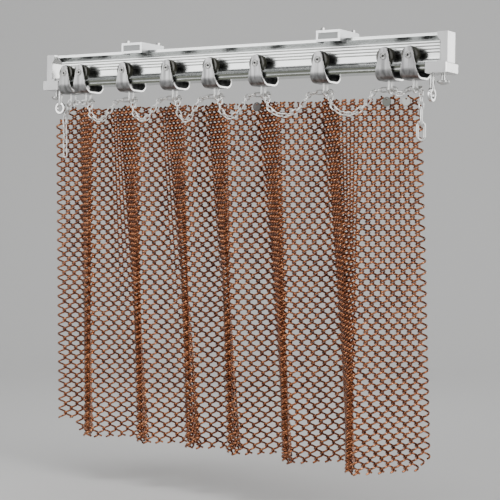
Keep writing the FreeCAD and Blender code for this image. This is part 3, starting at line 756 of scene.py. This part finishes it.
track = finish_node("track", track_silver, 0.2)
# Painted shade: the track's flute floors are coloured darker, for the shade in the grooves.
shade_faces(track, groove_painted_shade, lambda normal, middle: (
    abs(normal.y) > SQUARE_ON and abs(middle.y) < FLUTE_FLOOR
))
# Painted shade: the flanges' front faces are coloured near-black, for how dark they look in the
# light.
shade_faces(track, flange_painted_shade, lambda normal, middle: (
    abs(normal.y) > SQUARE_ON and abs(middle.y) > FLANGE_EDGE
))
for side in ("left", "right"):
    bracket = finish_node("ceiling_bracket_" + side, bracket_metal, 0.25)
    panel_front = node_box("ceiling_bracket_" + side)[0][1] + PANEL_INSET
    shade_faces(bracket, panel_paint, lambda normal, middle: (
        normal.y < -SQUARE_ON and middle.y > panel_front
    ))
    finish_node("ceiling_screws_" + side, screw_silver, 0.15)
    for node, width in (("end_block_" + side, 0.25), ("end_upright_" + side, 0.3)):
        stop = finish_node(node, stop_silver, width)
        # Painted shade: the stops' front faces are coloured darker than their other faces, for how
        # the light falls.
        shade_faces(stop, stop_front_painted_shade, lambda normal, middle: normal.y < -SQUARE_ON)

# Tag discs
TAG_RADIUS, TAG_THICK = 4.2, 0.9
LAST_TAG_INSET = 6.0


def tag_disc(x, front, middle):
    """A round disc facing front, with soft edges and a hole near its top."""
    hole, hole_rise, edge, sides = 0.9, 2.3, 0.2, 36
    angles = 2 * math.pi * np.arange(sides) / sides
    rays = np.stack([np.cos(angles), np.sin(angles)], axis=1)
    rim = [
        (TAG_RADIUS - edge, 0.0), (TAG_RADIUS, edge),
        (TAG_RADIUS, TAG_THICK - edge), (TAG_RADIUS - edge, TAG_THICK),
    ]
    bore = [(hole, TAG_THICK), (hole, 0.0)]
    rings = [(rays * r, y) for r, y in rim] + [(rays * r + [0.0, hole_rise], y) for r, y in bore]
    points = [[(x + a, front + y, middle + b) for a, b in ring] for ring, y in rings]
    points = np.array(points).transpose(1, 0, 2).reshape(-1, 3)
    return points, ring_quads(sides, len(rings), closed=True)


low, high = node_box("tag_disc_middle")
tag_x, _, tag_level = (low + high) / 2
middle_tag = new_piece(
    "tag_middle", *tag_disc(tag_x, low[1], tag_level), tag_dark, "track", "dark_tag", smooth=False,
)
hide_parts("tag_disc_middle")
squashed(middle_tag)
low, high = node_box("tag_discs_right")
right_discs = gather([
    tag_disc(last_but_one, low[1], tag_level),
    tag_disc(carriers[8] - LAST_TAG_INSET, high[1] - TAG_THICK, tag_level),
])
right_tags = new_piece("tags_right", *right_discs, tag_grey, "lead", "tag", smooth=False)
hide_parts("tag_discs_right")
shade_faces(right_tags, tag_olive, lambda normal, middle: middle.x < last_but_one + TAG_RADIUS)

# Studio: a pale floor that curves up behind, soft lights and the camera
CAMERA_PLACE = (0.67697, -1.08229, -0.15546)
CAMERA_AZIMUTH, CAMERA_ELEVATION, CAMERA_ROLL = 31.35, -1.87, 0.6
CAMERA_LENS, CAMERA_SENSOR, CAMERA_REACH = 98.0, 36.0, 50.0
WORLD_COLOR, WORLD_STRENGTH = (0.90, 0.91, 0.92, 1.0), 0.22
LIGHTS = (
    # name, place, what it points at, width and height, watts
    ("key", (-0.95, -1.50, 0.45), (0, 0, -0.2), (1.1, 1.6), 30.0),
    ("fill", (1.60, -0.45, 0.35), (0, 0, -0.2), (0.7, 1.4), 20.0),
    ("top", (0.10, -0.25, 1.30), (0, 0, -0.1), (1.2, 0.8), 14.0),
    ("back", (-0.90, 1.50, 0.90), (0, 0, -0.2), (1.4, 1.0), 6.0),
    ("edge", (1.15, 1.65, 0.20), (0, 0, -0.1), (0.9, 1.4), 16.0),
)


def camera_basis(azimuth, elevation, roll):
    """The camera's axes for angles in degrees."""
    a, e, r = (math.radians(v) for v in (azimuth, elevation, roll))
    forward = Vector((-math.sin(a) * math.cos(e), math.cos(a) * math.cos(e), math.sin(e)))
    right = Vector((math.cos(a), math.sin(a), 0))
    up = right.cross(forward)
    x = right * math.cos(r) + up * math.sin(r)
    y = up * math.cos(r) - right * math.sin(r)
    return Matrix((x, y, -forward)).transposed()


def place_camera():
    data = bpy.data.cameras.new("camera")
    data.sensor_fit = "HORIZONTAL"
    data.sensor_width = CAMERA_SENSOR
    data.lens = CAMERA_LENS
    data.clip_end = CAMERA_REACH
    camera = bpy.data.objects.new("camera", data)
    basis = camera_basis(CAMERA_AZIMUTH, CAMERA_ELEVATION, CAMERA_ROLL)
    camera.matrix_world = Matrix.Translation(CAMERA_PLACE) @ basis.to_4x4()
    bpy.context.scene.collection.objects.link(camera)
    bpy.context.scene.camera = camera


def backdrop():
    """A floor that bends up into a wall, square to the camera's view."""
    floor, back, bend, height, half_width = -430.0, 900.0, 900.0, 3000.0, 5000.0
    profile = [(-4000.0, floor), (-1000.0, floor), (back, floor)]
    for angle in np.linspace(0, 90, 17)[1:]:
        a = math.radians(angle)
        profile.append((back + bend * math.sin(a), floor + bend * (1 - math.cos(a))))
    profile.append((back + bend, height))
    a = math.radians(CAMERA_AZIMUTH)
    points = []
    for depth, z in profile:
        for side in (-half_width, half_width):
            x = side * math.cos(a) - depth * math.sin(a)
            y = side * math.sin(a) + depth * math.cos(a)
            points.append((x, y, z))
    quads = [(2 * i, 2 * i + 1, 2 * i + 3, 2 * i + 2) for i in range(len(profile) - 1)]
    paper, _, _ = new_material("studio_paper", (0.56, 0.56, 0.555), 0.0, 0.9)
    piece = new_piece("studio_floor", points, quads, paper)


def area_light(name, place, target, size, power):
    data = bpy.data.lights.new(name, "AREA")
    data.shape = "RECTANGLE"
    data.size, data.size_y = size
    data.energy = power
    light = bpy.data.objects.new(name, data)
    light.location = place
    light.rotation_euler = (Vector(target) - Vector(place)).to_track_quat("-Z", "Y").to_euler()
    light.visible_camera = False
    bpy.context.scene.collection.objects.link(light)


def set_world():
    world = bpy.data.worlds.new("studio")
    bpy.context.scene.world = world
    world.use_nodes = True
    background = world.node_tree.nodes["Background"]
    background.inputs["Color"].default_value = WORLD_COLOR
    background.inputs["Strength"].default_value = WORLD_STRENGTH


place_camera()
backdrop()
for light in LIGHTS:
    area_light(*light)
set_world()
